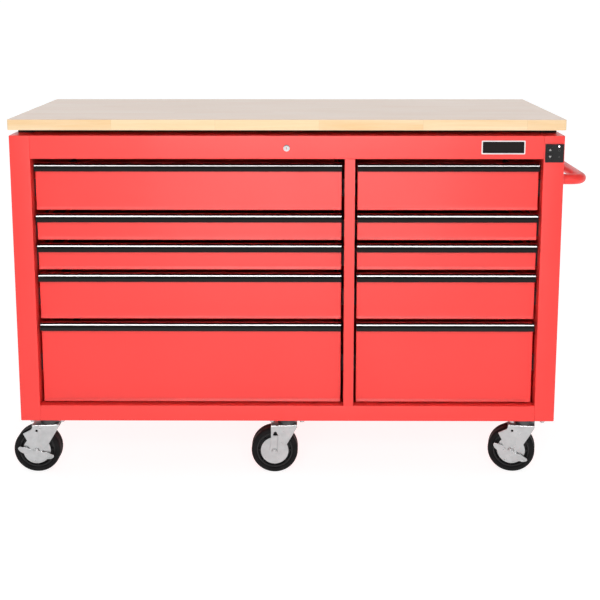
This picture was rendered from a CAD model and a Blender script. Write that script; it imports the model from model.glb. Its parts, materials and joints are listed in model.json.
"""Rolling tool chest: the finished look of every piece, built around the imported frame."""
import json
import math

import bmesh
import bpy
from bpy.props import FloatProperty, FloatVectorProperty, IntProperty, PointerProperty
from mathutils import Matrix, Vector


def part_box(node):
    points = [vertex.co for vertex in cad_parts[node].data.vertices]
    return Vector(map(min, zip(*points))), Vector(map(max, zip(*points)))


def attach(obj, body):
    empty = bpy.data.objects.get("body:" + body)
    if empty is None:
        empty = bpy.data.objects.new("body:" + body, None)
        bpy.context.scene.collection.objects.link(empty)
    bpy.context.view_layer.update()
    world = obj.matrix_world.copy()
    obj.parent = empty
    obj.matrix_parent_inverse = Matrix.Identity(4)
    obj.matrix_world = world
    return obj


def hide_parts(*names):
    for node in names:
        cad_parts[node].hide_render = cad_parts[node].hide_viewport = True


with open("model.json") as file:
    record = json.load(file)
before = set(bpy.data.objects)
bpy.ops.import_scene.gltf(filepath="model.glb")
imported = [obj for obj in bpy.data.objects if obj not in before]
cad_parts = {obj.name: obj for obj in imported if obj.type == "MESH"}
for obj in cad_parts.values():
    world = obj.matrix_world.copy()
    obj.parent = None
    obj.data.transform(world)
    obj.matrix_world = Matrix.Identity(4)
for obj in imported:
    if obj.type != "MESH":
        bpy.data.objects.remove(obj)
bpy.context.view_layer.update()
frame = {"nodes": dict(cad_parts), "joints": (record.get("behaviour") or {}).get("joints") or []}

bl_info = {
    "name": "Rolling Tool Chest",
    "version": (1, 0, 0),
    "blender": (4, 5, 0),
    "location": "3D View > Sidebar > Tool Chest",
    "description": "Builds the finished pieces of a rolling tool chest around its frame",
    "category": "Object",
}

MM = 0.001
EVEN = (1, 1, 1)
BANKS = ("l", "r")
ROWS = range(1, 6)
DRAWERS = [f"{bank}{row}" for bank in BANKS for row in ROWS]
CASTERS = ("fl", "fm", "fr", "rl", "rm", "rr")
TILTS = {"fl": 14, "fr": 24}
JOINTS = {joint["name"]: joint for joint in frame["joints"]}

# ---------------------------------------------------------------- settings


def length(name, text, value):
    """A length that a designer can set."""
    return FloatProperty(name=name, description=text, default=value, unit="LENGTH")


def colour(name, text, value):
    """A colour that a designer can set."""
    return FloatVectorProperty(name=name, description=text, subtype="COLOR", default=value)


def power(name, text, value):
    """The power of a light, in watts."""
    return FloatProperty(name=name, description=text, default=value, unit="POWER")


class ChestFinishes(bpy.types.PropertyGroup):
    red: colour("Red", "Colour of the powder coat", (0.92, 0.047, 0.040))
    wood_light: colour("Light stave", "Colour of the palest staves", (0.88, 0.69, 0.42))
    wood_dark: colour("Dark stave", "Colour of the darkest staves", (0.83, 0.54, 0.27))
    wood_face: colour("Worn face", "Tone that handling gives the wide faces", (0.97, 0.69, 0.555))
    zinc: colour("Zinc", "Colour of the zinc-plated steel", (0.52, 0.53, 0.535))


class ChestSheet(bpy.types.PropertyGroup):
    outer_bend: length("Outer bend", "Radius of the body's folded corners", 3.5 * MM)
    front_bend: length("Front bend", "Radius of a drawer front's edges", 1.8 * MM)
    edge: length("Edge", "Softening of cut sheet edges", 0.35 * MM)
    sheet: length("Sheet", "Thickness of the outer sheet", 1.5 * MM)
    tray: length("Tray sheet", "Thickness of a drawer tray's sheet", 1.0 * MM)
    crease: length("Crease height", "Height of the pressed line above a front's lower edge", 8.5 * MM)
    lip: length("Lip", "How far a front's lower lip stands out", 2.2 * MM)


class ChestWorktop(bpy.types.PropertyGroup):
    edge: length("Edge", "Rounding of the worktop's edges", 1.2 * MM)
    corner: length("Corner", "Rounding of the worktop's corners", 4.5 * MM)
    stave_width: length("Stave width", "Width of a glued stave", 46 * MM)
    stave_length: length("Stave length", "Length of a glued stave", 0.27)


class ChestCasters(bpy.types.PropertyGroup):
    ring: IntProperty(name="Steps round", description="Steps round a turned piece", default=64, min=16)
    guard: length("Guard radius", "Radius of a thread guard", 38 * MM)


class ChestStage(bpy.types.PropertyGroup):
    lens: FloatProperty(name="Lens", description="Focal length in millimetres", default=67.4)
    eye: FloatVectorProperty(
        name="Eye", description="Place of the camera", subtype="TRANSLATION", default=(0.0253, -3.199, 1.295))
    pitch: FloatProperty(
        name="Pitch", description="Downward tilt of the camera", default=math.radians(9.79), unit="ROTATION")
    yaw: FloatProperty(
        name="Yaw", description="Turn of the camera", default=math.radians(0.29), unit="ROTATION")
    shift: FloatProperty(name="Shift", description="Vertical lens shift", default=-0.18)
    key_power: power("Key light", "Power of the large front softbox", 52.0)
    top_power: power("Top light", "Power of the softbox above", 4.0)
    strip_power: power("Strip light", "Power of the strip that the pulls reflect", 1300.0)
    low_power: power("Low card", "Power of the card that the flat paint reflects", 14.0)
    high_power: power("High card", "Power of the card that the folds reflect", 26.0)
    metal_power: power("Metal card", "Power of the card that the casters reflect", 85.0)
    ambient: FloatProperty(name="Ambient", description="Strength of the surrounding white", default=0.3)
    table_glow: FloatProperty(
        name="Table glow", description="Light that the backlit floor gives off", default=0.84)


SETTINGS = {"finishes": ChestFinishes, "sheets": ChestSheet, "worktop": ChestWorktop,
            "casters": ChestCasters, "stage": ChestStage}


def settings(name):
    """One of the scene's groups of sizes or colours."""
    return getattr(bpy.context.scene, f"chest_{name}")


# ---------------------------------------------------------------- shader groups and materials

def node_group(name, kind, inputs, outputs):
    """A new node group; sockets are (name, type) or (name, type, value). Returns it with its two ends."""
    tree = bpy.data.node_groups.new(name, kind)
    for way, sockets in (("INPUT", inputs), ("OUTPUT", outputs)):
        for label, socket, *value in sockets:
            made = tree.interface.new_socket(label, in_out=way, socket_type=f"NodeSocket{socket}")
            if value:
                made.default_value = value[0]
    return tree, tree.nodes.new("NodeGroupInput"), tree.nodes.new("NodeGroupOutput")


def link_nodes(tree, *pairs):
    """Links each pair of sockets."""
    for start, end in pairs:
        tree.links.new(start, end)


def math_node(tree, operation, first, second=None):
    """A Math node whose inputs are sockets or numbers; returns its output."""
    node = tree.nodes.new("ShaderNodeMath")
    node.operation = operation
    for i, value in enumerate((first, second)):
        if isinstance(value, bpy.types.NodeSocket):
            tree.links.new(value, node.inputs[i])
        elif value is not None:
            node.inputs[i].default_value = value
    return node.outputs[0]


def mix_colours(tree, factor, first, second, blend="MIX"):
    """A colour Mix node whose inputs are sockets or colours; returns its output."""
    node = tree.nodes.new("ShaderNodeMix")
    node.data_type = "RGBA"
    node.blend_type = blend
    for socket, value in ((node.inputs[0], factor), (node.inputs[6], first), (node.inputs[7], second)):
        if isinstance(value, bpy.types.NodeSocket):
            tree.links.new(value, socket)
        elif isinstance(value, (int, float)):
            socket.default_value = value
        else:
            socket.default_value = (*value[:3], 1)
    return node.outputs[2]


def speckle_group():
    """Group: noise on Object coordinates, stretched along one axis, brought between two limits."""
    name = "Surface speckle"
    if name in bpy.data.node_groups:
        return bpy.data.node_groups[name]
    tree, entry, leave = node_group(
        name, "ShaderNodeTree",
        (("Scale", "Float", 40.0), ("Stretch", "Vector", (1, 1, 1)), ("Detail", "Float", 4.0),
         ("Low", "Float", 0.0), ("High", "Float", 1.0)),
        (("Value", "Float"),))
    place = tree.nodes.new("ShaderNodeTexCoord")
    stretch = tree.nodes.new("ShaderNodeVectorMath")
    stretch.operation = "MULTIPLY"
    noise = tree.nodes.new("ShaderNodeTexNoise")
    limits = tree.nodes.new("ShaderNodeMapRange")
    limits.inputs["From Min"].default_value = 0.3
    limits.inputs["From Max"].default_value = 0.7
    link_nodes(tree, (place.outputs["Object"], stretch.inputs[0]),
               (entry.outputs["Stretch"], stretch.inputs[1]),
               (stretch.outputs[0], noise.inputs["Vector"]), (entry.outputs["Scale"], noise.inputs["Scale"]),
               (entry.outputs["Detail"], noise.inputs["Detail"]), (noise.outputs[0], limits.inputs["Value"]),
               (entry.outputs["Low"], limits.inputs["To Min"]),
               (entry.outputs["High"], limits.inputs["To Max"]),
               (limits.outputs[0], leave.inputs["Value"]))
    return tree


def stave_group():
    """Group: staves laid along X in rows across Y, with a random number for each and a line at each joint."""
    name = "Glued staves"
    if name in bpy.data.node_groups:
        return bpy.data.node_groups[name]
    tree, entry, leave = node_group(
        name, "ShaderNodeTree",
        (("Width", "Float", 0.045), ("Length", "Float", 0.4), ("Joint", "Float", 0.0006)),
        (("Random", "Float"), ("Joint line", "Float")))
    place = tree.nodes.new("ShaderNodeTexCoord")
    parts = tree.nodes.new("ShaderNodeSeparateXYZ")
    tree.links.new(place.outputs["Object"], parts.inputs[0])
    across = math_node(tree, "DIVIDE", parts.outputs["Y"], entry.outputs["Width"])
    row = math_node(tree, "FLOOR", across)
    row_random = tree.nodes.new("ShaderNodeTexWhiteNoise")
    row_random.noise_dimensions = "1D"
    tree.links.new(row, row_random.inputs["W"])
    along = math_node(tree, "DIVIDE", parts.outputs["X"], entry.outputs["Length"])
    along = math_node(tree, "ADD", along, math_node(tree, "MULTIPLY", row_random.outputs["Value"], 7.3))
    stave = math_node(tree, "FLOOR", along)
    pair = tree.nodes.new("ShaderNodeCombineXYZ")
    link_nodes(tree, (row, pair.inputs[0]), (stave, pair.inputs[1]))
    stave_random = tree.nodes.new("ShaderNodeTexWhiteNoise")
    stave_random.noise_dimensions = "3D"
    tree.links.new(pair.outputs[0], stave_random.inputs["Vector"])
    tree.links.new(stave_random.outputs["Value"], leave.inputs["Random"])

    def near_edge(value, size):
        """One where the value's fraction is within half a joint of a whole number."""
        share = math_node(tree, "FRACT", value)
        distance = math_node(tree, "MINIMUM", share, math_node(tree, "SUBTRACT", 1.0, share))
        return math_node(tree, "LESS_THAN", math_node(tree, "MULTIPLY", distance, size),
                         math_node(tree, "MULTIPLY", entry.outputs["Joint"], 0.5))

    line = math_node(tree, "MAXIMUM", near_edge(across, entry.outputs["Width"]),
                     near_edge(along, entry.outputs["Length"]))
    tree.links.new(line, leave.inputs["Joint line"])
    return tree


def new_material(name):
    """A material with an empty node tree; returns it with its shader."""
    material = bpy.data.materials.new(name)
    material.use_nodes = True
    shader = material.node_tree.nodes["Principled BSDF"]
    return material, material.node_tree, shader


def speckle(tree, scale, low, high, stretch=EVEN, detail=4.0):
    """Places the speckle group with its own values; returns its output."""
    node = tree.nodes.new("ShaderNodeGroup")
    node.node_tree = speckle_group()
    for name, value in (("Scale", scale), ("Low", low), ("High", high), ("Stretch", stretch),
                        ("Detail", detail)):
        node.inputs[name].default_value = value
    return node.outputs["Value"]


def set_bump(tree, shader, height, strength, distance):
    """Feeds a height through a Bump node into the shader's normal."""
    bump = tree.nodes.new("ShaderNodeBump")
    bump.inputs["Strength"].default_value = strength
    bump.inputs["Distance"].default_value = distance
    link_nodes(tree, (height, bump.inputs["Height"]), (bump.outputs[0], shader.inputs["Normal"]))


def tint(tone, factor):
    """A darker or lighter copy of a colour."""
    return tuple(min(1.0, value * factor) for value in tone)


def coated(name, tone, roughness, coat, peel, gloss=0.5):
    """Powder coat or enamel: a fine orange peel, faint cloudiness and rubbed patches."""
    material, tree, shader = new_material(name)
    cloud = speckle(tree, 3.0, 0.0, 1.0, detail=2.0)
    dust = speckle(tree, 420.0, 0.0, 1.0, detail=1.0)
    base = mix_colours(tree, cloud, tint(tone, 0.965), tint(tone, 1.03))
    base = mix_colours(tree, math_node(tree, "MULTIPLY", dust, 0.05), base, tint(tone, 0.8))
    link_nodes(tree, (base, shader.inputs["Base Color"]),
               (speckle(tree, 9.0, roughness * 0.86, roughness * 1.14), shader.inputs["Roughness"]))
    shader.inputs["Specular IOR Level"].default_value = gloss
    shader.inputs["Coat Weight"].default_value = coat
    shader.inputs["Coat Roughness"].default_value = 0.12
    set_bump(tree, shader, speckle(tree, 330.0, 0.0, 1.0, detail=1.5), peel, 0.0003)
    return material


def mottled(name, dark, pale, grain, rough, metallic=0.0, gloss=0.5, bump=None):
    """A material whose colour and roughness wander between two values.

    grain is (scale, stretch, detail), rough is (scale, low, high, stretch), and bump is
    (scale or None for the grain itself, strength)."""
    material, tree, shader = new_material(name)
    scale, stretch, detail = grain
    noise = speckle(tree, scale, 0.0, 1.0, stretch, detail)
    link_nodes(tree, (mix_colours(tree, noise, dark, pale), shader.inputs["Base Color"]),
               (speckle(tree, *rough), shader.inputs["Roughness"]))
    shader.inputs["Metallic"].default_value = metallic
    shader.inputs["Specular IOR Level"].default_value = gloss
    if bump:
        height = speckle(tree, bump[0], 0.0, 1.0, detail=2.0) if bump[0] else noise
        set_bump(tree, shader, height, bump[1], 0.0002)
    return material, tree, shader


def red_paint():
    """The body's red powder coat."""
    return coated("Red powder coat", settings("finishes").red, 0.36, 0.12, 0.10, gloss=0.35)


def dark_enamel():
    """Black enamel of the columns and the lift frame."""
    return coated("Black enamel", (0.014, 0.014, 0.015), 0.42, 0.05, 0.12, gloss=0.25)


def pale_enamel():
    """Pale enamel of the plate's rim."""
    return coated("Pale enamel", (0.80, 0.77, 0.77), 0.4, 0.1, 0.08)


def pull_black():
    """Glossy black anodised pulls, drawn lengthwise."""
    return mottled("Black pull", (0.005, 0.003, 0.003), (0.010, 0.007, 0.007), (260.0, (0.01, 1, 1), 3.0),
                   (30.0, 0.11, 0.19, (0.05, 1, 1)), gloss=0.2, bump=(None, 0.04))[0]


def zinc_plate():
    """Bright zinc plate: faint blotches and fine drawing lines."""
    tone = settings("finishes").zinc
    return mottled("Zinc plate", tint(tone, 0.9), tint(tone, 1.06), (55.0, EVEN, 5.0),
                   (120.0, 0.27, 0.43), metallic=0.92, bump=(700.0, 0.06))[0]


def slide_steel():
    """Darker plated steel of the drawer slides, with a film of grease."""
    return mottled("Slide steel", (0.05, 0.05, 0.052), (0.09, 0.09, 0.092), (70.0, EVEN, 4.0),
                   (90.0, 0.3, 0.5, (1, 0.1, 1)), metallic=0.6)[0]


def chrome_plate():
    """Polished chrome of the lock."""
    return mottled("Polished chrome", (0.78, 0.78, 0.79), (0.9, 0.9, 0.91), (160.0, EVEN, 4.0),
                   (240.0, 0.07, 0.16), metallic=1.0)[0]


def tyre_rubber():
    """Black rubber with a fine moulded grain and dusty patches."""
    return mottled("Tyre rubber", (0.006, 0.006, 0.0065), (0.012, 0.012, 0.0125), (35.0, EVEN, 6.0),
                   (60.0, 0.5, 0.72), gloss=0.12, bump=(1100.0, 0.25))[0]


def black_plastic():
    """Fine-sparked black plastic."""
    return mottled("Moulded plastic", (0.013, 0.013, 0.01365), (0.0195, 0.0195, 0.02015),
                   (1500.0, EVEN, 2.0), (90.0, 0.38, 0.5), gloss=0.3, bump=(None, 0.2))[0]


def printed_grey(name="Pale print", level=0.3):
    """Pale printing on the keys."""
    material, tree, shader = new_material(name)
    base = mix_colours(tree, speckle(tree, 900.0, 0.0, 1.0), (level, level * 0.96, level * 0.94),
                       (level * 1.3, level * 1.26, level * 1.22))
    tree.links.new(base, shader.inputs["Base Color"])
    shader.inputs["Roughness"].default_value = 0.55
    return material


def faint_print():
    """Darker printing on the panel."""
    return printed_grey("Faint print", 0.07)


def lamp_white():
    """The lit lens of the indicator."""
    material, tree, shader = new_material("Indicator lens")
    glow = mix_colours(tree, speckle(tree, 800.0, 0.0, 1.0), (0.92, 0.9, 1.0), (1.0, 1.0, 1.0))
    link_nodes(tree, (glow, shader.inputs["Base Color"]), (glow, shader.inputs["Emission Color"]))
    shader.inputs["Emission Strength"].default_value = 1.4
    shader.inputs["Roughness"].default_value = 0.2
    return material


def drawer_mat():
    """Ribbed black liner: ribs across the drawer and a soft grain."""
    material, tree, shader = mottled("Ribbed liner", (0.014, 0.014, 0.015), (0.028, 0.028, 0.03),
                                     (45.0, EVEN, 4.0), (200.0, 0.6, 0.8))
    place = tree.nodes.new("ShaderNodeTexCoord")
    ribs = tree.nodes.new("ShaderNodeTexWave")
    ribs.bands_direction = "X"
    ribs.wave_profile = "SIN"
    ribs.inputs["Scale"].default_value = 55.0
    tree.links.new(place.outputs["Object"], ribs.inputs["Vector"])
    set_bump(tree, shader, ribs.outputs["Fac"], 0.6, 0.001)
    return material


def oiled_wood():
    """Edge-glued staves with their own tone, long grain and pores, and a satin oil finish."""
    material, tree, shader = new_material("Oiled wood")
    tones = settings("finishes")
    sizes = settings("worktop")
    staves = tree.nodes.new("ShaderNodeGroup")
    staves.node_tree = stave_group()
    staves.inputs["Width"].default_value = sizes.stave_width
    staves.inputs["Length"].default_value = sizes.stave_length
    place = tree.nodes.new("ShaderNodeTexCoord")
    move = tree.nodes.new("ShaderNodeVectorMath")
    move.operation = "MULTIPLY_ADD"
    jump = tree.nodes.new("ShaderNodeCombineXYZ")
    for i in range(3):
        tree.links.new(math_node(tree, "MULTIPLY", staves.outputs["Random"], 9.0 + 4 * i), jump.inputs[i])
    move.inputs[1].default_value = (2.2, 38.0, 38.0)
    link_nodes(tree, (place.outputs["Object"], move.inputs[0]), (jump.outputs[0], move.inputs[2]))
    rings = tree.nodes.new("ShaderNodeTexNoise")
    rings.inputs["Scale"].default_value = 1.3
    rings.inputs["Detail"].default_value = 7.0
    rings.inputs["Distortion"].default_value = 0.9
    tree.links.new(move.outputs[0], rings.inputs["Vector"])
    grain = tree.nodes.new("ShaderNodeMapRange")
    grain.inputs["From Min"].default_value = 0.32
    grain.inputs["From Max"].default_value = 0.68
    tree.links.new(rings.outputs[0], grain.inputs["Value"])
    pores = speckle(tree, 900.0, 0.0, 1.0, stretch=(0.035, 1, 1), detail=3.0)
    tone = mix_colours(tree, staves.outputs["Random"], tones.wood_dark, tones.wood_light)
    tone = mix_colours(tree, math_node(tree, "MULTIPLY", grain.outputs[0], 0.5), tone,
                       (0.93, 0.78, 0.55))
    tone = mix_colours(tree, math_node(tree, "MULTIPLY", pores, 0.14), tone, tint(tones.wood_dark, 0.62))
    tone = mix_colours(tree, math_node(tree, "MULTIPLY", staves.outputs["Joint line"], 0.35), tone,
                       tint(tones.wood_dark, 0.5))
    facing = tree.nodes.new("ShaderNodeNewGeometry")
    parts = tree.nodes.new("ShaderNodeSeparateXYZ")
    tree.links.new(facing.outputs["Normal"], parts.inputs[0])
    level = math_node(tree, "MULTIPLY", math_node(tree, "ABSOLUTE", parts.outputs["Z"]), 0.72)
    tone = mix_colours(tree, level, tone, tones.wood_face)
    height = math_node(tree, "SUBTRACT", math_node(tree, "MULTIPLY", pores, 0.6),
                       staves.outputs["Joint line"])
    link_nodes(tree, (tone, shader.inputs["Base Color"]),
               (speckle(tree, 25.0, 0.36, 0.5, stretch=(0.2, 1, 1)), shader.inputs["Roughness"]))
    shader.inputs["Coat Weight"].default_value = 0.55
    shader.inputs["Coat Roughness"].default_value = 0.22
    set_bump(tree, shader, height, 0.12, 0.0004)
    return material


MAKERS = {
    "red": red_paint, "enamel": dark_enamel, "pale": pale_enamel, "pull": pull_black, "zinc": zinc_plate,
    "chrome": chrome_plate, "rubber": tyre_rubber, "slide": slide_steel, "plastic": black_plastic,
    "print": printed_grey, "faint": faint_print, "lamp": lamp_white, "liner": drawer_mat, "wood": oiled_wood,
}
MADE = {}


def lit_pieces(finish):
    """The collection of the pieces with one finish, which a reflection card lights alone."""
    name = f"Lit {finish}"
    return bpy.data.collections.get(name) or bpy.data.collections.new(name)


def finish_of(name):
    """The material of that name, made once."""
    if name not in MADE:
        MADE[name] = MAKERS[name]()
    return MADE[name]


# ---------------------------------------------------------------- mesh helpers

def mm(points):
    """Points given in millimetres."""
    return [(x * MM, y * MM) for x, y in points]


def arc(centre, radius, start, end, steps=6):
    """Points of an arc in the plane, from one angle to another in degrees."""
    return [(centre[0] + radius * math.cos(math.radians(start + (end - start) * i / steps)),
             centre[1] + radius * math.sin(math.radians(start + (end - start) * i / steps)))
            for i in range(steps + 1)]


def rounded(points, radius, steps=5, closed=False):
    """The same line with every corner rounded; radius is one number or one for each point."""
    count = len(points)
    radii = radius if isinstance(radius, (list, tuple)) else [radius] * count
    made = []
    for i, point in enumerate(points):
        here = Vector(point)
        if not closed and i in (0, count - 1) or radii[i] <= 0:
            made.append(here)
            continue
        before = Vector(points[i - 1]) - here
        after = Vector(points[(i + 1) % count]) - here
        angle = before.angle(after)
        cut = min(radii[i] / math.tan(angle / 2), before.length * 0.49, after.length * 0.49)
        size = cut * math.tan(angle / 2)
        first = here + before.normalized() * cut
        centre = here + (before.normalized() + after.normalized()).normalized() * (size / math.sin(angle / 2))
        turn = first - centre
        last = here + after.normalized() * cut - centre
        swing = math.atan2(turn.x * last.y - turn.y * last.x, turn.dot(last))
        for step in range(steps + 1):
            made.append(centre + Matrix.Rotation(swing * step / steps, 2) @ turn)
    return made


def thickened(path, thickness):
    """A closed outline of an open line with a wall on its left."""
    other = []
    for i, point in enumerate(path):
        ahead = (path[min(i + 1, len(path) - 1)] - point)
        behind = (point - path[max(i - 1, 0)])
        ahead = ahead.normalized() if ahead.length > 1e-9 else behind.normalized()
        behind = behind.normalized() if behind.length > 1e-9 else ahead
        middle = (ahead + behind).normalized()
        left = Vector((-middle.y, middle.x))
        other.append(point + left * thickness / max(0.3, middle.dot(ahead)))
    return list(path) + other[::-1]


def axis_frame(axis):
    """Turns plane points (u, v) and a run w into a place: the run is along the axis."""
    return {"x": lambda u, v, w: (w, u, v),
            "y": lambda u, v, w: (u, w, v),
            "z": lambda u, v, w: (u, v, w)}[axis]


def join_rings(shell, near, far):
    """Faces between two closed rings with the same number of corners."""
    for i, corner in enumerate(near):
        j = (i + 1) % len(near)
        shell.faces.new((corner, near[j], far[j], far[i]))


def add_loft(shell, sections, half=0):
    """Adds a solid through closed outlines; half is the length of a fold whose ends are closed by quads."""
    rings = [[shell.verts.new(point) for point in section] for section in sections]
    for near, far in zip(rings, rings[1:]):
        join_rings(shell, near, far)
    near, far = rings[0], rings[-1]
    if not half:
        shell.faces.new(near[::-1])
        shell.faces.new(far)
    for i in range(half - 1):
        mate = len(near) - 1 - i
        shell.faces.new((near[i + 1], near[i], near[mate], near[mate - 1]))
        shell.faces.new((far[i], far[i + 1], far[mate - 1], far[mate]))


def add_prism(shell, outline, axis, start, end, place=Matrix()):
    """Adds a solid of one outline between two places along an axis."""
    spot = axis_frame(axis)
    add_loft(shell, [[place @ Vector(spot(p[0], p[1], run)) for p in outline] for run in (start, end)])


def add_folded(shell, path, thickness, axis, start, end):
    """Adds a folded sheet that runs along an axis."""
    spot = axis_frame(axis)
    outline = thickened(path, thickness)
    add_loft(shell, [[spot(p[0], p[1], run) for p in outline] for run in (start, end)], half=len(path))


def add_pressed(shell, polygons, stations, offset, wall, side, place):
    """Adds a pressed plate: flat polygons in X and Z, cut at stations and moved out along Y by offset(x)."""
    flat = bmesh.new()
    for polygon in polygons:
        flat.faces.new([flat.verts.new((x, 0.0, z)) for x, z in polygon])
    bmesh.ops.remove_doubles(flat, verts=flat.verts, dist=1e-6)
    for x in stations:
        bmesh.ops.bisect_plane(flat, geom=flat.verts[:] + flat.edges[:] + flat.faces[:],
                               plane_co=(x, 0, 0), plane_no=(1, 0, 0))
    flat.verts.index_update()
    near, far = ([shell.verts.new(place @ Vector((v.co.x, side * (offset(v.co.x) + depth), v.co.z)))
                  for v in flat.verts] for depth in (0.0, wall))
    for face in flat.faces:
        shell.faces.new([near[v.index] for v in face.verts])
        shell.faces.new([far[v.index] for v in reversed(face.verts)])
    for edge in flat.edges:
        if edge.is_boundary:
            a, b = (v.index for v in edge.verts)
            shell.faces.new((near[a], near[b], far[b], far[a]))
    flat.free()


def add_block(shell, low, high):
    """Adds a plain block between two corners."""
    outline = [(low[0], low[1]), (high[0], low[1]), (high[0], high[1]), (low[0], high[1])]
    add_prism(shell, outline, "z", low[2], high[2])


def cut_window(shell, low, high):
    """Cuts a window with closed rims through a sheet that stands across Y."""
    for place, normal in ((low, (1, 0, 0)), (high, (1, 0, 0)), (low, (0, 0, 1)), (high, (0, 0, 1))):
        bmesh.ops.bisect_plane(shell, geom=shell.verts[:] + shell.edges[:] + shell.faces[:],
                               plane_co=place, plane_no=normal)
    inside = []
    for face in shell.faces:
        centre = face.calc_center_median()
        if low.x < centre.x < high.x and low.z < centre.z < high.z:
            inside.append(face)
    bmesh.ops.delete(shell, geom=inside, context="FACES_ONLY")
    bmesh.ops.bridge_loops(shell, edges=[edge for edge in shell.edges if edge.is_boundary])


def add_turned(shell, profile, place, steps, closed=True):
    """Adds a turned solid: profile points are (radius, run), and place turns them into the piece."""
    rings = []
    for radius, run in profile:
        if radius < 1e-7:
            rings.append([shell.verts.new(place @ Vector((0, run, 0)))])
            continue
        rings.append([shell.verts.new(place @ Vector((radius * math.cos(math.tau * i / steps), run,
                                                      radius * math.sin(math.tau * i / steps))))
                      for i in range(steps)])
    pairs = list(zip(rings, rings[1:] + (rings[:1] if closed else [])))
    for ring, other in pairs:
        for i in range(steps):
            j = (i + 1) % steps
            corners = [ring[i % len(ring)], ring[j % len(ring)], other[j % len(other)],
                       other[i % len(other)]]
            corners = list(dict.fromkeys(corners))
            if len(corners) > 2:
                shell.faces.new(corners)


def add_swept(shell, path, radius, steps=24):
    """Adds a round tube along a line of places, with closed ends."""
    sections = []
    for i, point in enumerate(path):
        ahead = path[min(i + 1, len(path) - 1)] - path[max(i - 1, 0)]
        side = ahead.cross(Vector((0, 0, 1))).normalized()
        up = side.cross(ahead).normalized()
        sections.append([point + radius * (side * math.cos(math.tau * k / steps)
                                           + up * math.sin(math.tau * k / steps)) for k in range(steps)])
    add_loft(shell, sections)


def stand(name, mesh, body, angle, edge, segments=2):
    """Puts a mesh in the scene as a piece, smooth between its sharp edges, with a body and a slot."""
    piece = bpy.data.objects.new(name, mesh)
    bpy.context.scene.collection.objects.link(piece)
    mesh.polygons.foreach_set("use_smooth", [True] * len(mesh.polygons))
    mesh.set_sharp_from_angle(angle=math.radians(angle))
    if edge:
        soften(piece, edge, segments)
    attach(piece, body)
    return piece


def finished(shell, name, finish, body, angle=32.0, edge=0.0, segments=2, replaces=()):
    """Turns a shell into a piece of the object, with smooth rounds, an edge bevel, a finish and a body."""
    bmesh.ops.remove_doubles(shell, verts=shell.verts, dist=1e-6)
    bmesh.ops.recalc_face_normals(shell, faces=shell.faces)
    mesh = bpy.data.meshes.new(name)
    shell.to_mesh(mesh)
    shell.free()
    mesh.materials.append(finish_of(finish))
    piece = stand(name, mesh, body, angle, edge, segments)
    lit_pieces(finish).objects.link(piece)
    if replaces:
        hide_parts(*replaces)
    return piece


def soften(piece, width, segments=2):
    """A bevel on the sharp edges."""
    bevel = piece.modifiers.new("Softened edges", "BEVEL")
    bevel.width = width
    bevel.segments = segments
    bevel.limit_method = "ANGLE"
    bevel.angle_limit = math.radians(40)
    bevel.use_clamp_overlap = True


def dress_node(name, finish, edge=0.0):
    """Gives a CAD node its finish, and softens its edges without changing its mesh."""
    piece = frame["nodes"][name]
    piece.data.materials.clear()
    piece.data.materials.append(finish_of(finish))
    lit_pieces(finish).objects.link(piece)
    if edge:
        weld = piece.modifiers.new("Joined corners", "WELD")
        weld.merge_threshold = 1e-5
        soften(piece, edge)


def caster_place(name):
    """A caster's own frame: the axle at the origin and along Y, the swivel axis towards +X."""
    axle = JOINTS[f"roll_{name}"]
    turn = math.atan2(-axle["axis"][0], axle["axis"][1])
    return Matrix.Translation(Vector(axle["pos_m"])) @ Matrix.Rotation(turn, 4, "Z")


# ---------------------------------------------------------------- pieces that repeat

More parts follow.
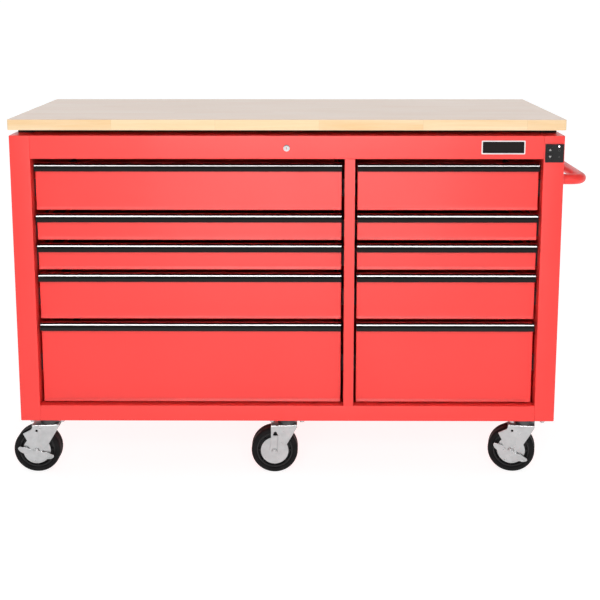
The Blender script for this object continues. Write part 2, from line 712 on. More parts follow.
def hardware_tree():
    """Geometry nodes: a washer and a many-sided head on every point of the piece."""
    name = "Heads on points"
    if name in bpy.data.node_groups:
        return bpy.data.node_groups[name]
    tree, entry, leave = node_group(
        name, "GeometryNodeTree",
        (("Places", "Geometry"), ("Head radius", "Float", 4 * MM), ("Head height", "Float", 3 * MM),
         ("Sides", "Int", 6), ("Washer radius", "Float", 6 * MM), ("Washer height", "Float", 1 * MM),
         ("Turn", "Vector", (0, 0, 0)), ("Finish", "Material")),
        (("Heads", "Geometry"),))
    nodes = tree.nodes
    head, washer = nodes.new("GeometryNodeMeshCylinder"), nodes.new("GeometryNodeMeshCylinder")
    washer.inputs["Vertices"].default_value = 20
    lift_head, lift_washer = nodes.new("GeometryNodeTransform"), nodes.new("GeometryNodeTransform")
    both = nodes.new("GeometryNodeJoinGeometry")
    spots = nodes.new("GeometryNodeInstanceOnPoints")
    turn = nodes.new("FunctionNodeEulerToRotation")
    real = nodes.new("GeometryNodeRealizeInstances")
    paint = nodes.new("GeometryNodeSetMaterial")
    half_head, half_washer = (math_node(tree, "MULTIPLY", entry.outputs[socket], 0.5)
                              for socket in ("Head height", "Washer height"))
    for rise, move in ((math_node(tree, "ADD", entry.outputs["Washer height"], half_head), lift_head),
                       (half_washer, lift_washer)):
        up = nodes.new("ShaderNodeCombineXYZ")
        link_nodes(tree, (rise, up.inputs["Z"]), (up.outputs[0], move.inputs["Translation"]))
    link_nodes(tree, (entry.outputs["Sides"], head.inputs["Vertices"]),
               (entry.outputs["Head radius"], head.inputs["Radius"]),
               (entry.outputs["Head height"], head.inputs["Depth"]),
               (entry.outputs["Washer radius"], washer.inputs["Radius"]),
               (entry.outputs["Washer height"], washer.inputs["Depth"]),
               (head.outputs["Mesh"], lift_head.inputs["Geometry"]),
               (washer.outputs["Mesh"], lift_washer.inputs["Geometry"]),
               (lift_head.outputs[0], both.inputs[0]), (lift_washer.outputs[0], both.inputs[0]),
               (entry.outputs["Places"], spots.inputs["Points"]), (both.outputs[0], spots.inputs["Instance"]),
               (entry.outputs["Turn"], turn.inputs[0]), (turn.outputs[0], spots.inputs["Rotation"]),
               (spots.outputs[0], real.inputs[0]), (real.outputs[0], paint.inputs["Geometry"]),
               (entry.outputs["Finish"], paint.inputs["Material"]), (paint.outputs[0], leave.inputs["Heads"]))
    return tree


def run_tree(name, tree, places, values, body, edge):
    """Runs a geometry tree on points, keeps its mesh as a plain piece and drops the modifier."""
    seed = bpy.data.meshes.new(f"{name}_places")
    seed.from_pydata([tuple(place) for place in places], [], [])
    carrier = bpy.data.objects.new(f"{name}_carrier", seed)
    bpy.context.scene.collection.objects.link(carrier)
    modifier = carrier.modifiers.new("Repeat", "NODES")
    modifier.node_group = tree
    for item in tree.interface.items_tree:
        if item.in_out == "INPUT" and item.name in values:
            modifier[item.identifier] = values[item.name]
    bpy.context.view_layer.update()
    source = carrier.evaluated_get(bpy.context.evaluated_depsgraph_get())
    mesh = bpy.data.meshes.new_from_object(source)
    mesh.name = name
    bpy.data.objects.remove(carrier)
    stand(name, mesh, body, 30, edge)


def heads(name, places, turn, body, finish, head, washer, sides=6):
    """Screw or bolt heads at these places; head and washer are (radius, height)."""
    values = {"Head radius": head[0], "Head height": head[1], "Washer radius": washer[0],
              "Washer height": washer[1], "Sides": sides, "Turn": turn, "Finish": finish_of(finish)}
    run_tree(name, hardware_tree(), places, values, body, min(0.25 * MM, head[1] / 5))


# ---------------------------------------------------------------- operators


class CHEST_OT_stage(bpy.types.Operator):
    """Floor, soft lights and camera"""
    bl_idname = "chest.stage"
    bl_label = "Stage"

    def execute(self, context):
        plan = settings("stage")
        self.backdrop()
        world = context.scene.world or bpy.data.worlds.new("World")
        context.scene.world = world
        world.use_nodes = True
        sky = world.node_tree.nodes["Background"]
        sky.inputs["Color"].default_value = (1, 1, 1, 1)
        sky.inputs["Strength"].default_value = plan.ambient
        key = self.softbox("Softbox front", (0.0, -3.1, 1.55), (0.0, 0.0, 0.8), plan.key_power, (2.0, 1.2))
        key.visible_glossy = False
        self.softbox("Softbox above", (0.0, -0.6, 3.4), (0.0, 0.0, 0.5), plan.top_power, (3.0, 2.4))
        for name, finish, place, target, watts, size in (
                ("Strip above", "pull", (0.0, -0.95, 2.6), (0.0, -0.6, 0.0), plan.strip_power, (3.6, 1.1)),
                ("Card low", "red", (0.0, -3.0, 0.5), (0.0, 0.0, 0.7), plan.low_power, (1.5, 0.9)),
                ("Card high", "red", (0.0, -2.7, 1.9), (0.0, 0.0, 0.5), plan.high_power, (3.0, 0.8)),
                ("Card front", "zinc", (0.0, -2.7, 1.7), (0.0, 0.0, 0.1), plan.metal_power, (3.6, 0.7))):
            card = self.softbox(name, place, target, watts, size)
            card.visible_diffuse = False
            card.light_linking.receiver_collection = lit_pieces(finish)
        lens = bpy.data.cameras.new("Camera")
        lens.lens = plan.lens
        lens.sensor_width = 36.0
        lens.shift_y = plan.shift
        lens.clip_end = 60.0
        camera = bpy.data.objects.new("Camera", lens)
        context.scene.collection.objects.link(camera)
        camera.location = plan.eye
        camera.rotation_euler = (math.pi / 2 - plan.pitch, 0.0, plan.yaw)
        context.scene.camera = camera
        context.scene.view_settings.view_transform = "Standard"
        return {"FINISHED"}

    def backdrop(self):
        """A pale floor that curves up into a wall far behind."""
        shell = bmesh.new()
        line = rounded([(-40.0, 0.0), (7.0, 0.0), (7.0, 9.0)], [0, 3.0, 0], steps=16)
        rows = [[shell.verts.new((x, p[0], p[1])) for p in line] for x in (-40.0, 40.0)]
        for i in range(len(line) - 1):
            shell.faces.new((rows[0][i], rows[1][i], rows[1][i + 1], rows[0][i + 1]))
        mesh = bpy.data.meshes.new("Backdrop")
        shell.to_mesh(mesh)
        shell.free()
        floor = bpy.data.objects.new("Backdrop", mesh)
        bpy.context.scene.collection.objects.link(floor)
        mesh.polygons.foreach_set("use_smooth", [True] * len(mesh.polygons))
        material, tree, shader = new_material("Backlit paper")
        base = mix_colours(tree, speckle(tree, 2.0, 0.0, 1.0), (0.34, 0.345, 0.345), (0.36, 0.36, 0.36))
        tree.links.new(base, shader.inputs["Base Color"])
        shader.inputs["Roughness"].default_value = 0.9
        shader.inputs["Specular IOR Level"].default_value = 0.1
        shader.inputs["Emission Color"].default_value = (1, 1, 1, 1)
        shader.inputs["Emission Strength"].default_value = settings("stage").table_glow
        mesh.materials.append(material)

    def softbox(self, name, place, target, watts, size):
        """A rectangular area light that faces a place."""
        lamp = bpy.data.lights.new(name, "AREA")
        lamp.energy = watts
        lamp.shape = "RECTANGLE"
        lamp.size, lamp.size_y = size
        light = bpy.data.objects.new(name, lamp)
        bpy.context.scene.collection.objects.link(light)
        light.location = place
        light.rotation_euler = (Vector(target) - Vector(place)).to_track_quat("-Z", "Y").to_euler()
        return light


class CHEST_OT_body(bpy.types.Operator):
    """Folded side panels with their stiles, back panel, header, base rail and inner steelwork"""
    bl_idname = "chest.body"
    bl_label = "Body"

    def execute(self, context):
        sizes = settings("sheets")
        low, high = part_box("outer_panels")
        rail_low, rail_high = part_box("front_rails")
        self.sides(sizes, low, high, rail_low, rail_high)
        self.back(sizes, low, high)
        self.rails(sizes, low, high, rail_low, rail_high)
        for name, finish in (("decks", "red"), ("inner_walls", "red"), ("lift_drive", "enamel"),
                             ("lift_frame", "enamel"), ("lock_bar", "slide")):
            dress_node(name, finish, edge=sizes.edge)
        for name in ("slide_rails", "caster_plates", *(f"slide_mid_{name}" for name in DRAWERS)):
            dress_node(name, "slide", edge=sizes.edge * 0.6)
        return {"FINISHED"}

    def sides(self, sizes, low, high, rail_low, rail_high):
        """Each side panel folds round the front corner into the stile and back into the opening."""
        fold = 24 * MM
        for name, edge, inner, sense in (("side_panel_left", low.x, rail_low.x, 1),
                                         ("side_panel_right", high.x, rail_high.x, -1)):
            seam = -sense * 0.2 * MM
            path = [(edge, high.y), (edge, low.y), (inner + seam, low.y), (inner + seam, low.y + fold)]
            path = rounded(path, [0, sizes.outer_bend, 1.6 * MM, 0], steps=6)
            shell = bmesh.new()
            add_folded(shell, path, sizes.sheet * sense, "z", low.z, high.z)
            replaced = ("outer_panels",) if sense > 0 else ()
            finished(shell, name, "red", "cabinet", edge=sizes.edge, replaces=replaced)

    def back(self, sizes, low, high):
        """The back panel has folded edges, four pressed beads and a window for the mains inlet."""
        inset = sizes.sheet + 0.3 * MM
        left, right = low.x + inset, high.x - inset
        half, depth, fold = 5 * MM, 2 * MM, 20 * MM
        beads = (-0.61, -0.215, 0.215, 0.61)
        inlet_side, inlet_height = 0.43, 0.235
        path = [(left, high.y - fold), (left, high.y)]
        middle = (left + right) / 2
        for centre in [middle + bead for bead in beads]:
            path += [(centre - 2 * half, high.y), (centre - half, high.y - depth),
                     (centre + half, high.y - depth), (centre + 2 * half, high.y)]
        path += [(right, high.y), (right, high.y - fold)]
        bends = [0] + [1.5 * MM] * (len(path) - 2) + [0]
        shell = bmesh.new()
        add_folded(shell, rounded(path, bends, steps=4), -sizes.sheet, "z", low.z, high.z)
        inlet = Vector((middle + inlet_side, high.y, low.z + inlet_height))
        half_window = Vector((15.2 * MM, 0.0, 11.2 * MM))
        cut_window(shell, inlet - half_window, inlet + half_window)
        finished(shell, "back_panel", "red", "cabinet", edge=sizes.edge)
        pins = bmesh.new()
        half_pin = Vector((1.0 * MM, 5.5 * MM, 2.2 * MM))
        for x, z in mm([(-6.5, -1.5), (0, 2.5), (6.5, -1.5)]):
            pin = inlet + Vector((x, -8.4 * MM, z))
            add_block(pins, pin - half_pin, pin + half_pin)
        finished(pins, "inlet_pins", "zinc", "cabinet", edge=0.2 * MM)

    def rails(self, sizes, low, high, rail_low, rail_high):
        """Header and base rail, each folded back at the opening's edge."""
        opening_low, opening_high = self.opening()
        left, right = rail_low.x, rail_high.x
        header = rounded([(low.y + 24 * MM, opening_high), (low.y, opening_high), (low.y, high.z)],
                         [0, 1.6 * MM, 0])
        base = rounded([(low.y, low.z), (low.y, opening_low), (low.y + 30 * MM, opening_low)],
                       [0, 1.6 * MM, 0])
        for name, path, replaced in (("header_rail", header, ("front_rails",)), ("base_rail", base, ())):
            shell = bmesh.new()
            add_folded(shell, path, -sizes.sheet, "x", left, right)
            finished(shell, name, "red", "cabinet", edge=sizes.edge, replaces=replaced)

    def opening(self):
        """Lower and upper edge of the drawer opening, from the gaps round the drawer fronts."""
        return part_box("drawer_l5")[0].z - 5 * MM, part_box("drawer_l1")[1].z + 14 * MM


class CHEST_OT_worktop(bpy.types.Operator):
    """Wood worktop of glued staves"""
    bl_idname = "chest.worktop"
    bl_label = "Worktop"

    def execute(self, context):
        sizes = settings("worktop")
        low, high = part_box("wood_top")
        corners = [(low.x, low.y), (high.x, low.y), (high.x, high.y), (low.x, high.y)]
        shell = bmesh.new()
        add_prism(shell, rounded(corners, sizes.corner, steps=8, closed=True), "z", low.z, high.z)
        finished(shell, "worktop_board", "wood", "worktop", edge=sizes.edge, segments=3,
                 replaces=("wood_top",))
        return {"FINISHED"}


class CHEST_OT_drawers(bpy.types.Operator):
    """Drawer fronts, trays, liners and the slide members that ride on them"""
    bl_idname = "chest.drawers"
    bl_label = "Drawers"

    def execute(self, context):
        for name in DRAWERS:
            self.front(name)
            self.tray(name)
            self.slides(name)
        return {"FINISHED"}

    def front(self, name):
        """A pressed pan, open at the back, with a fine pressed line near its lower edge."""
        sizes = settings("sheets")
        left, right = (corner.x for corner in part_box(f"pull_{name}"))
        low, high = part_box(f"drawer_{name}")
        face, depth = low.y, 16 * MM
        line = low.z + sizes.crease
        lip = face - sizes.lip
        profile = [(lip, low.z), (lip, low.z + 1.8 * MM), (face, line), (face, high.z)]
        shell = bmesh.new()
        rows = [[shell.verts.new((x, y, z)) for y, z in profile] for x in (left, right)]
        back = [[shell.verts.new((x, face + depth, z)) for y, z in profile] for x in (left, right)]
        for i in range(len(profile) - 1):
            shell.faces.new((rows[0][i], rows[1][i], rows[1][i + 1], rows[0][i + 1]))
            for side in (0, 1):
                shell.faces.new((rows[side][i], rows[side][i + 1], back[side][i + 1], back[side][i]))
        for i in (0, -1):
            shell.faces.new((rows[0][i], rows[1][i], back[1][i], back[0][i]))
        piece = finished(shell, f"front_{name}", "red", f"drawer_{name}",
                         angle=12, edge=sizes.front_bend, segments=4, replaces=(f"drawer_{name}",))
        wall = piece.modifiers.new("Sheet", "SOLIDIFY")
        wall.thickness = 1.2 * MM
        wall.offset = -1.0

    def tray(self, name):
        """The tray is one folded sheet with hemmed sides, an inner front and a back."""
        sizes = settings("sheets")
        low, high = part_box(f"drawer_{name}")
        left, right = (corner.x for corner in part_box(f"slide_mid_{name}"))
        reach = 10.3 * MM
        left, right = left + reach, right - reach
        near, far = low.y + 16.2 * MM, high.y - 4 * MM
        bottom, top = low.z + 4 * MM, high.z - 16 * MM
        hem, drop = 2.6 * MM, 8 * MM
        path = [(left + hem, top - drop), (left + hem, top), (left, top), (left, bottom),
                (right, bottom), (right, top), (right - hem, top), (right - hem, top - drop)]
        bends = [0, 1.2 * MM, 1.2 * MM, 2.0 * MM, 2.0 * MM, 1.2 * MM, 1.2 * MM, 0]
        shell = bmesh.new()
        add_folded(shell, rounded(path, bends, steps=4), sizes.tray, "y", near, far)
        for start in (near, far - sizes.tray):
            add_block(shell, (left + hem + 0.3 * MM, start, bottom + sizes.tray),
                      (right - hem - 0.3 * MM, start + sizes.tray, top - 0.5 * MM))
        finished(shell, f"tray_{name}", "red", f"drawer_{name}", edge=sizes.edge * 0.6)
        shell = bmesh.new()
        add_block(shell, (left + 5 * MM, near + 3 * MM, bottom + sizes.tray + 0.1 * MM),
                  (right - 5 * MM, far - 3 * MM, bottom + sizes.tray + 2.1 * MM))
        finished(shell, f"liner_{name}", "liner", f"drawer_{name}", edge=0.6 * MM)

    def slides(self, name):
        """The slide's inner member on each side of the tray."""
        low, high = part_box(f"slide_mid_{name}")
        middle = (low.z + high.z) / 2
        half = 15.9 * MM
        shell = bmesh.new()
        for web, sense in ((low.x + 10.1 * MM, -1), (high.x - 10.1 * MM, 1)):
            tip = web + sense * 7 * MM
            path = [Vector(p) for p in ((tip, middle + half), (web, middle + half), (web, middle - half),
                                        (tip, middle - half))]
            path = rounded(path, [0, 1.5 * MM, 1.5 * MM, 0], steps=4)
            add_folded(shell, path, sense * -1.2 * MM, "y", low.y, high.y - 8 * MM)
        finished(shell, f"slide_inner_{name}", "slide", f"drawer_{name}", edge=0.2 * MM)


class CHEST_OT_pulls(bpy.types.Operator):
    """Full-width pulls with a rolled nose and a finger groove"""
    bl_idname = "chest.pulls"
    bl_label = "Pulls"

    def execute(self, context):
        for name in DRAWERS:
            low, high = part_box(f"pull_{name}")
            outline = self.section(high.y, high.z, high.y - low.y, high.z - low.z)
            shell = bmesh.new()
            add_prism(shell, outline, "x", low.x, high.x)
            finished(shell, f"pull_bar_{name}", "pull", f"drawer_{name}", angle=28,
                     edge=0.5 * MM, replaces=(f"pull_{name}",))
        return {"FINISHED"}

    def section(self, back, top, depth, height):
        """Outline in Y and Z: a nose with a large radius, a lip, the groove and the back flange."""
        wall = 3 * MM
        nose = depth - 4 * MM
        centre = (back - depth + nose, top - nose)
        outer = arc(centre, nose, 90, 180, 14)
        inner = arc(centre, nose - wall, 180, 90, 12)
        bottom = top - height
        return ([(back, bottom), (back, top)] + outer
                + [(back - depth, bottom), (back - depth + wall, bottom)]
                + inner + [(back - wall, top - wall), (back - wall, bottom)])


class CHEST_OT_handle(bpy.types.Operator):
    """Bent tube handle with its flanges"""
    bl_idname = "chest.handle"
    bl_label = "Handle"

    def execute(self, context):
        low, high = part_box("push_handle")
        radius = (high.z - low.z) / 2
        height = (high.z + low.z) / 2
        reach = high.x - radius
        ends = (low.y + radius, high.y - radius)
        bend = radius * 2.4
        root = low.x - 1 * MM
        plan = rounded([(root, ends[0]), (reach, ends[0]), (reach, ends[1]), (root, ends[1])],
                       [0, bend, bend, 0], steps=14)
        shell = bmesh.new()
        add_swept(shell, [Vector((p[0], p[1], height)) for p in plan], radius, steps=32)
        finished(shell, "handle_tube", "red", "cabinet", angle=50, replaces=("push_handle",))
        shell = bmesh.new()
        for end in ends:
            place = Matrix.Translation((low.x, end, height)) @ Matrix.Rotation(-math.pi / 2, 4, "Z")
            rim = radius + 3.2 * MM
            add_turned(shell, [(radius - 1 * MM, 0), (rim, 0), (rim, 1 * MM), (rim - 1.2 * MM, 2.2 * MM),
                               (radius + 0.4 * MM, 3.2 * MM), (radius - 1 * MM, 3.2 * MM)], place, 32)
        finished(shell, "handle_welds", "red", "cabinet", angle=50)
        return {"FINISHED"}


class CHEST_OT_controls(bpy.types.Operator):
    """Control panel with its keys, printing and indicator, the key lock and the blank plate"""
    bl_idname = "chest.controls"
    bl_label = "Controls"

    def execute(self, context):
        self.panel()
        self.key_marks()
        self.lock()
        self.plate()
        return {"FINISHED"}

    def panel(self):
        """The control panel with two faint marks and a lit lens."""
        low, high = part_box("control_panel")
        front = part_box("outer_panels")[0].y
        dress_node("control_panel", "plastic", edge=0.5 * MM)
        centre = (low + high) / 2
        column = high.x - (high.x - low.x) / 4
        shell = bmesh.new()
        for height, width in ((7.5 * MM, 4.2 * MM), (-9.5 * MM, 2.6 * MM)):
            place = Matrix.Translation((column, low.y, centre.z + height))
            add_turned(shell, [(width / 2 + 0.7 * MM, 0), (width / 2 + 0.7 * MM, -0.25 * MM),
                               (width / 2, -0.25 * MM), (width / 2, 0)], place, 24)
        finished(shell, "panel_marks", "faint", "cabinet", angle=40)
        shell = bmesh.new()
        place = Matrix.Translation((column - 1 * MM, low.y, high.z - 6 * MM))
        dome = mm([(0, -1.0), (1.4, -0.8), (2.2, -0.3), (2.4, 0), (0, 0)])
        add_turned(shell, dome, place, 20, closed=False)
        finished(shell, "indicator_lens", "lamp", "cabinet", angle=60)
        if front < low.y:
            raise RuntimeError("the control panel lies behind the front")

    def key_marks(self):
        """An arrow on each key."""
        for name, sense in (("key_up", 1), ("key_down", -1)):
            dress_node(name, "plastic", edge=0.6 * MM)
            low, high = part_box(name)
            centre = (low + high) / 2
            tip, foot, half = 3.4 * MM, 2.6 * MM, 3.9 * MM
            base = centre.z - sense * foot
            outline = [(centre.x - half, base), (centre.x + half, base), (centre.x, centre.z + sense * tip)]
            shell = bmesh.new()
            outline = rounded(outline, 0.5 * MM, steps=3, closed=True)
            add_prism(shell, outline, "y", low.y - 0.15 * MM, low.y)
            finished(shell, f"{name}_mark", "print", name)

    def lock(self):
        """The lock's turned barrel, and the plug in it."""
        low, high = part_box("lock_housing")
        plug_low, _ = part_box("lock_plug")
        centre = (low + high) / 2
        radius = (high.x - low.x) / 2
        bore = 6.05 * MM
        place = Matrix.Translation((centre.x, low.y, centre.z))
        shank = radius - 1 * MM
        profile = [(bore, 0.6 * MM), (bore + 0.5 * MM, 0), (radius - 1.4 * MM, 0),
                   (radius - 0.5 * MM, 0.3 * MM), (radius, 1.2 * MM), (radius, 3 * MM), (shank, 3 * MM),
                   (shank, 23 * MM), (bore, 23 * MM)]
        shell = bmesh.new()
        add_turned(shell, profile, place, 48)
        finished(shell, "lock_barrel", "chrome", "cabinet", angle=25, replaces=("lock_housing",))
        dress_node("lock_plug", "chrome", edge=0.25 * MM)
        if plug_low.y > low.y:
            raise RuntimeError("the plug lies behind the lock's face")

    def plate(self):
        """A blank plate: a black field in a bright raised rim."""
        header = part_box("front_rails")
        front = header[0].y
        middle = (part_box("outer_panels")[0].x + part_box("outer_panels")[1].x) / 2
        left, right = middle + 0.508, middle + 0.622
        bottom, top = header[1].z - 48 * MM, header[1].z - 12 * MM
        rim, deep = 3.0 * MM, 1.6 * MM
        corners = [(left, bottom), (right, bottom), (right, top), (left, top)]
        shell = bmesh.new()
        outer = rounded(corners, 2.5 * MM, steps=5, closed=True)
        inner = rounded([(left + rim, bottom + rim), (right - rim, bottom + rim), (right - rim, top - rim),
                         (left + rim, top - rim)], 1.4 * MM, steps=5, closed=True)
        proud = front - deep
        rings = [[shell.verts.new((p[0], y, p[1])) for p in line]
                 for line, y in ((outer, front), (outer, proud), (inner, proud), (inner, front))]
        for ring, other in zip(rings, rings[1:] + rings[:1]):
            join_rings(shell, ring, other)
        finished(shell, "plate_rim", "pale", "cabinet", edge=0.3 * MM)
        shell = bmesh.new()
        add_prism(shell, inner, "y", front - deep * 0.55, front - 0.05 * MM)
        finished(shell, "plate_field", "pull", "cabinet")


class CHEST_OT_casters(bpy.types.Operator):
    """Forks, wheels, thread guards and winged brake pedals"""
    bl_idname = "chest.casters"
    bl_label = "Casters"

    def execute(self, context):
        for name in CASTERS:
            place = caster_place(name)
            braked = f"brake_{name}" in frame["nodes"]
            self.fork(name, place, braked)
            self.wheel(name, place)
            if braked:
                self.pedal(name, place)
        return {"FINISHED"}

    def sizes(self):
        """Half width inside the fork, trail and heights above the axle, from the middle caster."""
        wheel_low, wheel_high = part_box("wheel_fm")
        radius = (wheel_high.z - wheel_low.z) / 2
        axle = JOINTS["roll_fm"]["pos_m"]
        trail = JOINTS["swivel_fm"]["pos_m"][0] - axle[0]
        tread = (wheel_high.y - wheel_low.y) / 2
        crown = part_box("caster_plates")[0].z - 0.3 * MM - axle[2]
        return radius, tread, tread + 2.5 * MM, trail, crown

    def fork(self, name, place, braked):
        """The pressed fork with its race and king pin, and the thread guards inside it."""
        _, tread, gap, trail, crown = self.sizes()
        wall, bend = 3 * MM, 8 * MM

        def offset(x):
            """Inner face of a leg: a proud rib at the axle, a flat, then a curve in round the swivel."""
            rib = min(1.0, max(0.0, (13 * MM - x) / (4 * MM)))
            return gap + 1.3 * MM * rib - max(0.0, x - 24 * MM) ** 2 * 4.2

        stations = [x * MM for x in (9, 11, 13, 18)] + [(24 + 6 * i) * MM for i in range(8)]
        shell = bmesh.new()
        for side in (-1, 1):
            add_pressed(shell, self.leg(crown - bend, trail, braked), stations, offset, wall, side, place)
        sections = []
        for x in [-10 * MM] + stations[:-1] + [trail + 27 * MM]:
            out = offset(x) + wall
            path = rounded([(-out, crown - bend), (-out, crown), (out, crown), (out, crown - bend)],
                           [0, bend * 0.98, bend * 0.98, 0], steps=6)
            sections.append([place @ Vector((x, p.x, p.y)) for p in thickened(path, -wall)])
        add_loft(shell, sections, half=len(path))
        upright = place @ Matrix.Translation((trail, 0, crown)) @ Matrix.Rotation(math.pi / 2, 4, "X")
        add_turned(shell, mm([(0, 20), (5, 20), (6, 19), (6, 0.2), (24, 0.2), (26, -1), (26, -5), (0, -5)]),
                   upright, 40, closed=False)
        add_turned(shell, mm([(0, -5), (10, -5), (10, -10), (8.8, -11), (0, -11)]), upright, 6, closed=False)
        finished(shell, f"fork_frame_{name}", "zinc", f"fork_{name}", edge=0.6 * MM, segments=3,
                 replaces=(f"fork_{name}",))
        shell = bmesh.new()
        inner, hole, guard = tread + 0.3 * MM, 5.2 * MM, settings("casters").guard
        flat = guard - 4 * MM
        profile = [(hole, inner), (flat, inner), (guard, inner - 0.2 * MM), (guard, inner + 1 * MM),
                   (flat, inner + 1.8 * MM), (hole, inner + 1.8 * MM)]
        for side in (-1, 1):
            add_turned(shell, [(r, side * y) for r, y in profile], place, settings("casters").ring)
        finished(shell, f"thread_guards_{name}", "zinc", f"fork_{name}")
        self.axle(name, place, gap)

    def leg(self, top, trail, braked):
        """Lower and upper half of a leg's outline, parted at the height of its hole."""
        if braked:
            left = [(-24, 18), (-26, 30), (-36, 49), (-13, 61)]
            hole = [(-3.6, 0), (-2.6, 2.6), (0, 3.6), (2.6, 2.6), (3.6, 0), (2.6, -2.6), (0, -3.6),
                    (-2.6, -2.6)]
            middle = 57.5
        else:
            left = [(-10, 18)]
            hole = [(-4.5, 0), (-4, 3.4), (0, 6), (4, 3.4), (4.5, 0), (7, -4), (6, -6), (-6, -6), (-7, -4)]
            middle = 51
        centre = 2
        left = mm(left)
        hole = [((x + centre) * MM, (z + middle) * MM) for x, z in hole]
        middle *= MM
        half = next(i for i, p in enumerate(hole) if i and abs(p[1] - middle) < 1e-9)
        right = [(33 * MM, 18 * MM), (trail + 25 * MM, 63 * MM), (trail + 27 * MM, top)]
        cut_right = 33 * MM + (middle - 18 * MM) * (trail - 8 * MM) / (45 * MM)
        below = [p for p in left if p[1] < middle]
        above = [p for p in left if p[1] >= middle]
        if below[-1] == left[-1]:
            cut_left = -10 * MM
        else:
            share = (middle - below[-1][1]) / (above[0][1] - below[-1][1])
            cut_left = below[-1][0] + share * (above[0][0] - below[-1][0])
        lower = (arc((0, 0), 16 * MM, 180, 360, 14) + [right[0], (cut_right, middle)] + hole[half:]
                 + [hole[0]]
                 + [(cut_left, middle)] + below[::-1])
        upper = ([(cut_left, middle)] + hole[:half + 1] + [(cut_right, middle)] + right[1:]
                 + [(-10 * MM, top)] + above[::-1])
        return lower, upper

    def axle(self, name, place, gap):
        """The axle bolt with its head, nut and washers."""
        half = gap + 10.5 * MM
        shell = bmesh.new()
        add_turned(shell, [(0, -half), (3.2 * MM, -half), (4.6 * MM, -half + 0.6 * MM),
                           (5 * MM, -half + 2 * MM), (5 * MM, half - 1 * MM), (4.2 * MM, half), (0, half)],
                   place, 32, closed=False)
        for side in (-1, 1):
            start = half - 4.5 * MM
            add_turned(shell, [(4.8 * MM, side * start), (8.6 * MM, side * start),
                               (8.6 * MM, side * (start + 2.6 * MM)), (7.6 * MM, side * (start + 3.3 * MM)),
                               (4.8 * MM, side * (start + 3.3 * MM))], place, 6)
        finished(shell, f"axle_bolt_{name}", "zinc", f"fork_{name}", edge=0.3 * MM)

    def wheel(self, name, place):
        """A tyre with a grooved tread on a ribbed hub."""
        radius, tread, *_ = self.sizes()
        steps = settings("casters").ring
        rim = radius - 14 * MM
        corner = 6 * MM
        side = [(rim, tread - 1.5 * MM), (rim + 2 * MM, tread), (radius - corner - 2 * MM, tread)]
        side += [(radius - corner + x, tread - corner + y)
                 for x, y in [(corner * math.sin(math.radians(a)), corner * math.cos(math.radians(a)))
                              for a in range(0, 91, 15)]]
        side += [(radius, 6 * MM), (radius - 1 * MM, 5.2 * MM), (radius - 1 * MM, 0)]
        profile = side + [(r, -y) for r, y in side[::-1][1:]]
        shell = bmesh.new()
        add_turned(shell, profile, place, steps)
        finished(shell, f"tyre_{name}", "rubber", f"wheel_{name}", angle=30,
                 replaces=(f"wheel_{name}",))
        hub = [(5.1 * MM, tread), (14 * MM, tread), (15.5 * MM, tread - 1.5 * MM),
               (16 * MM, tread - 9 * MM), (rim - 7 * MM, tread - 11 * MM), (rim - 4 * MM, tread - 3 * MM),
               (rim - 0.2 * MM, tread - 2 * MM)]
        shell = bmesh.new()
        add_turned(shell, hub + [(r, -y) for r, y in hub[::-1]], place, steps)
        for spoke in range(8):
            turn = place @ Matrix.Rotation(math.tau * spoke / 8, 4, "Y")
            for sense in (-1, 1):
                corners = [(14 * MM, sense * (tread - 12 * MM)), (14 * MM, sense * (tread - 2.5 * MM)),
                           (rim - 3 * MM, sense * (tread - 4.5 * MM)),
                           (rim - 3 * MM, sense * (tread - 12 * MM))]
                add_prism(shell, corners, "z", -1.5 * MM, 1.5 * MM, turn)
        finished(shell, f"hub_{name}", "plastic", f"wheel_{name}", edge=0.4 * MM)

    def pedal(self, name, place):
        """A dished half-round pedal with a wing at each end."""
        _, _, gap, _, _ = self.sizes()
        outer = gap + 3.3 * MM
        wing = mm([(42, -13), (48, -8), (50.5, -3.5), (48, 0.5), (29, 1.5), (16, -1.5), (9, 0), (7.5, 4),
                   (4, 7)])
        outline = (arc((0, 0), 36 * MM, 207, 333, 18) + wing + [(0, 8.2 * MM)]
                   + [(-x, z) for x, z in wing[::-1]])
        tilt = place @ Matrix.Rotation(math.radians(TILTS[name]), 4, "Y")
        shell = bmesh.new()
        rings = []
        levels = ((0.0, 1.6), (0.16, 1.6), (0.3, 0.9), (0.55, 0.3), (0.8, 0.0), (0.93, 0.5), (1.0, 2.0))
        for share, rise in levels[1:]:
            rings.append([])
            for x, z in outline:
                flare = max(0.0, abs(x) * share - 32 * MM) * 0.22
                y = -(outer + rise * MM * 0.8 + flare)
                rings[-1].append(shell.verts.new(tilt @ Vector((x * share, y, z * share))))
        hub = shell.verts.new(tilt @ Vector((0, -(outer + levels[0][1] * MM * 0.8), 0)))
        count = len(outline)
        for i in range(count):
            shell.faces.new((hub, rings[0][i], rings[0][(i + 1) % count]))
        for ring, other in zip(rings, rings[1:]):
            join_rings(shell, ring, other)
        piece = finished(shell, f"pedal_{name}", "zinc", f"brake_{name}", angle=50,
                         replaces=(f"brake_{name}",))
        wall = piece.modifiers.new("Sheet", "SOLIDIFY")
        wall.thickness = 1.2 * MM
        wall.offset = 1.0 if self.faces_out(piece) else -1.0

    def faces_out(self, piece):
        """True when most of the pedal's faces point away from the fork."""
        return sum(face.normal.y * face.area for face in piece.data.polygons) > 0


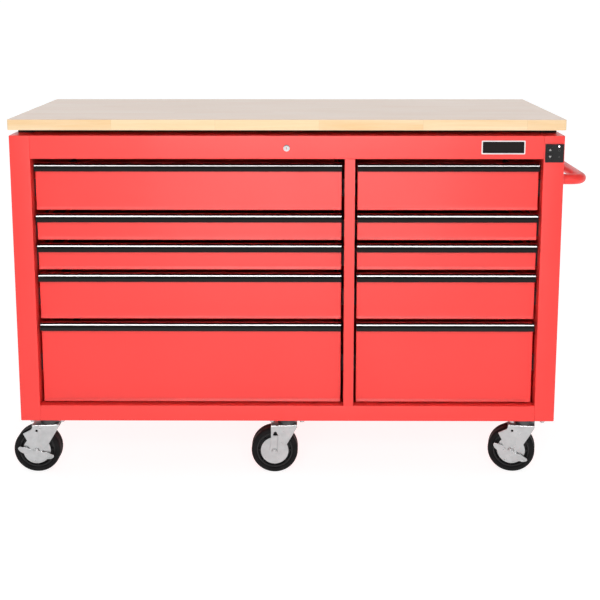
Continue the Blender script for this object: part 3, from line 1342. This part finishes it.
class CHEST_OT_fasteners(bpy.types.Operator):
    """Bolts of the caster plates and screws of the back panel"""
    bl_idname = "chest.fasteners"
    bl_label = "Fasteners"

    def execute(self, context):
        self.caster_bolts()
        self.back_screws()
        return {"FINISHED"}

    def caster_bolts(self):
        """Four bolts under each caster plate."""
        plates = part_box("caster_plates")
        under = plates[1].z - 4 * MM
        places = []
        for name in CASTERS:
            stem = Vector(JOINTS[f"swivel_{name}"]["pos_m"])
            places += [(stem.x + x, stem.y + y, under)
                       for x in (-41 * MM, 41 * MM) for y in (-33 * MM, 33 * MM)]
        heads("caster_bolts", places, (math.pi, 0, 0), "cabinet", "zinc",
              (6.5 * MM, 5 * MM), (8.5 * MM, 1.4 * MM))

    def back_screws(self):
        """Screws in rows along the four edges of the back panel."""
        low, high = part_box("outer_panels")
        columns, rows = 9, 5
        margin = 9 * MM
        places = []
        for i in range(columns):
            x = low.x + margin + 4 * MM + (high.x - low.x - 2 * margin - 8 * MM) * i / (columns - 1)
            places += [(x, high.y, z) for z in (low.z + margin, high.z - margin)]
        for i in range(1, rows):
            z = low.z + margin + (high.z - low.z - 2 * margin) * i / rows
            places += [(x, high.y, z) for x in (low.x + margin + 4 * MM, high.x - margin - 4 * MM)]
        heads("back_screws", places, (-math.pi / 2, 0, 0), "cabinet", "zinc",
              (3.2 * MM, 1.4 * MM), (4.4 * MM, 0.6 * MM), sides=20)


class CHEST_PT_panel(bpy.types.Panel):
    """Tool chest pieces"""
    bl_label = "Tool Chest"
    bl_idname = "CHEST_PT_panel"
    bl_space_type = "VIEW_3D"
    bl_region_type = "UI"
    bl_category = "Tool Chest"

    def draw(self, context):
        for name, group in SETTINGS.items():
            box = self.layout.box()
            box.label(text=name.capitalize())
            for key in group.__annotations__:
                box.prop(settings(name), key)
        for operator in OPERATORS:
            self.layout.operator(operator.bl_idname)


OPERATORS = (CHEST_OT_stage, CHEST_OT_body, CHEST_OT_worktop, CHEST_OT_drawers, CHEST_OT_pulls,
             CHEST_OT_handle, CHEST_OT_controls, CHEST_OT_casters, CHEST_OT_fasteners)


def register():
    """Registers the settings, the operators and the panel."""
    for group in (*SETTINGS.values(), *OPERATORS, CHEST_PT_panel):
        bpy.utils.register_class(group)
    for name, group in SETTINGS.items():
        setattr(bpy.types.Scene, f"chest_{name}", PointerProperty(type=group))


def unregister():
    """Takes away what register() added."""
    for name in SETTINGS:
        delattr(bpy.types.Scene, f"chest_{name}")
    for group in reversed((*SETTINGS.values(), *OPERATORS, CHEST_PT_panel)):
        bpy.utils.unregister_class(group)


def main():
    """Builds every group of pieces."""
    register()
    for operator in OPERATORS:
        group, name = operator.bl_idname.split(".")
        getattr(getattr(bpy.ops, group), name)()


if __name__ == "__main__":
    main()
